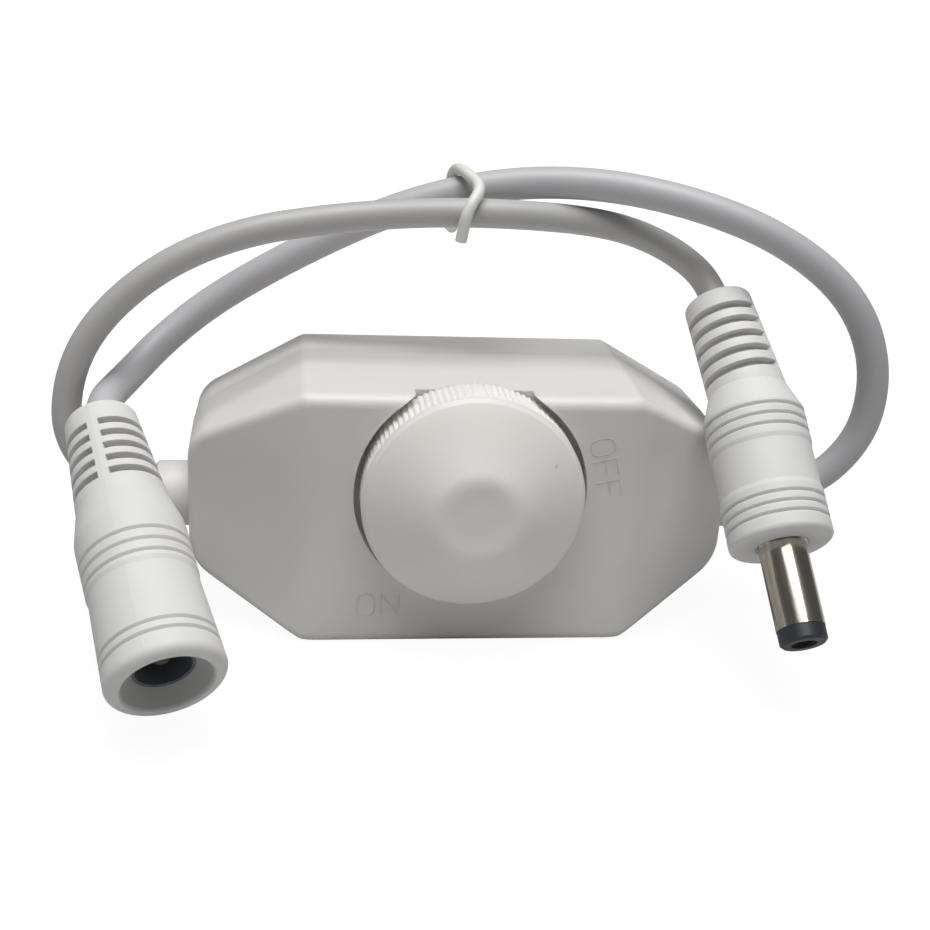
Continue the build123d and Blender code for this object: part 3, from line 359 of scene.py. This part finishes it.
output_cord = cord("output_cord_line", OUTPUT_ROUTE, OUTPUT_CORD_D, "output_cord_sheath", "output_cord")
input_cord = cord("input_cord_line", INPUT_ROUTE, INPUT_CORD_D, "input_cord_sheath", "input_cord")

# Raised lettering on the face, in millimetres. The strokes are sunk into the face by most of their radius.
STROKE_R = 0.16
STROKE_SINK = 0.11
LETTER_H = 2.9
LETTER_W = 2.1
O_POINTS = 28
O_SQUARENESS = 0.75
F_BAR_Z = 0.1
F_BAR_SHARE = 0.7
FACE_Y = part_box("front_cover")[0][1] + STROKE_SINK * MM


def stroke(name, spots, centre, turn, closed=False):
    """Thin raised stroke on the face: spots in millimetres from the letter's centre."""
    curve = bpy.data.curves.new(name, "CURVE")
    curve.dimensions = "3D"
    curve.bevel_depth = STROKE_R * MM
    curve.bevel_resolution = 2
    curve.use_fill_caps = True
    line = curve.splines.new("POLY")
    line.points.add(len(spots) - 1)
    for spot, (x, z) in zip(line.points, spots):
        across = x * math.cos(turn) - z * math.sin(turn)
        along = x * math.sin(turn) + z * math.cos(turn)
        spot.co = ((centre[0] + across) * MM, FACE_Y, (centre[1] + along) * MM, 1.0)
    line.use_cyclic_u = closed
    curve.materials.append(MATERIALS["housing_plastic"])
    piece = bpy.data.objects.new(name, curve)
    scene.collection.objects.link(piece)
    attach(piece, "housing")


def squared(value):
    """Sine or cosine pushed outward, so that a circle becomes a rounded box."""
    return math.copysign(abs(value) ** O_SQUARENESS, value)


def letter_o():
    """One closed rounded stroke."""
    angles = [2 * math.pi * index / O_POINTS for index in range(O_POINTS)]
    spots = [(squared(math.cos(a)) * LETTER_W / 2, squared(math.sin(a)) * LETTER_H / 2) for a in angles]
    return [(spots, True)]


def letter_n():
    """One open stroke."""
    w, h = LETTER_W / 2, LETTER_H / 2
    return [([(-w, -h), (-w, h), (w, -h), (w, h)], False)]


def letter_f():
    """Stem with the top bar, and the middle bar."""
    w, h = LETTER_W / 2, LETTER_H / 2
    stem = [(-w, -h), (-w, h), (w, h)]
    bar = [(-w, F_BAR_Z), (w * F_BAR_SHARE, F_BAR_Z)]
    return [(stem, False), (bar, False)]


def word(name, letters, start, step, turn):
    """Letters one after the other along a turned line."""
    for index, letter in enumerate(letters):
        reach = index * step
        centre = (start[0] + reach * math.cos(turn), start[1] + reach * math.sin(turn))
        for number, (spots, closed) in enumerate(letter()):
            stroke(f"{name}_{index}_{number}", spots, centre, turn, closed)


word("on_mark", [letter_o, letter_n], (-11.9, 5.3), 2.9, 0.0)
word("off_mark", [letter_o, letter_f, letter_f], (15.1, 25.8), 2.75, math.radians(-77))

# Stage: pale floor and white surround. The floor's white grows from near to far, as metres from the origin.
FLOOR_HALF = 3
FLOOR_GREY = 0.56
WHITE_SHARE = 0.85
NEAR, FAR = 0.05, 0.14
NEAR_WHITE, FAR_WHITE = 1.11, 1.2
SURROUND_LIGHT = 0.1


def floor_material():
    """White to the camera, more so away from the object, with a faint share of real shade."""
    material, tree, shader = tree_of("floor")
    shader.inputs["Base Color"].default_value = (FLOOR_GREY, FLOOR_GREY, FLOOR_GREY, 1)
    shader.inputs["Roughness"].default_value = 0.9
    shader.inputs["Specular IOR Level"].default_value = 0.0
    away = vector_math(tree, "LENGTH", place(tree))
    white = tree.nodes.new("ShaderNodeEmission")
    whiter = span(tree, away.outputs["Value"], NEAR_WHITE, FAR_WHITE, NEAR, FAR)
    tree.links.new(whiter, white.inputs["Strength"])
    mix = tree.nodes.new("ShaderNodeMixShader")
    tree.links.new(span(tree, seen_directly(tree), 0.0, WHITE_SHARE), mix.inputs["Fac"])
    tree.links.new(shader.outputs["BSDF"], mix.inputs[1])
    tree.links.new(white.outputs["Emission"], mix.inputs[2])
    tree.links.new(mix.outputs["Shader"], tree.nodes["Material Output"].inputs["Surface"])
    return material


corners = [(x * FLOOR_HALF, y * FLOOR_HALF, 0) for x, y in ((-1, -1), (1, -1), (1, 1), (-1, 1))]
floor_mesh = bpy.data.meshes.new("floor")
floor_mesh.from_pydata(corners, [], [(0, 1, 2, 3)])
floor_mesh.materials.append(floor_material())
floor = bpy.data.objects.new("floor", floor_mesh)
scene.collection.objects.link(floor)

world = bpy.data.worlds.new("surround")
scene.world = world
world.use_nodes = True
surround = world.node_tree
background = surround.nodes["Background"]
background.inputs["Color"].default_value = (1, 1, 1, 1)
level = span(surround, seen_directly(surround), SURROUND_LIGHT, 1.0)
surround.links.new(level, background.inputs["Strength"])


# Lamps
LAMP_AIM = (0, 0, 0.02)


def lamp(name, spot, size, power):
    """Square soft light aimed at the object."""
    aim = Vector(LAMP_AIM) - Vector(spot)
    data = bpy.data.lights.new(name, "AREA")
    data.size = size
    data.energy = power
    light = bpy.data.objects.new(name, data)
    light.location = spot
    light.rotation_euler = aim.to_track_quat("-Z", "Y").to_euler()
    scene.collection.objects.link(light)


lamp("overhead", (-0.01, -0.075, 0.61), 0.45, 3.8)
lamp("front_top", (0.0, -0.48, 0.52), 0.22, 0.08)
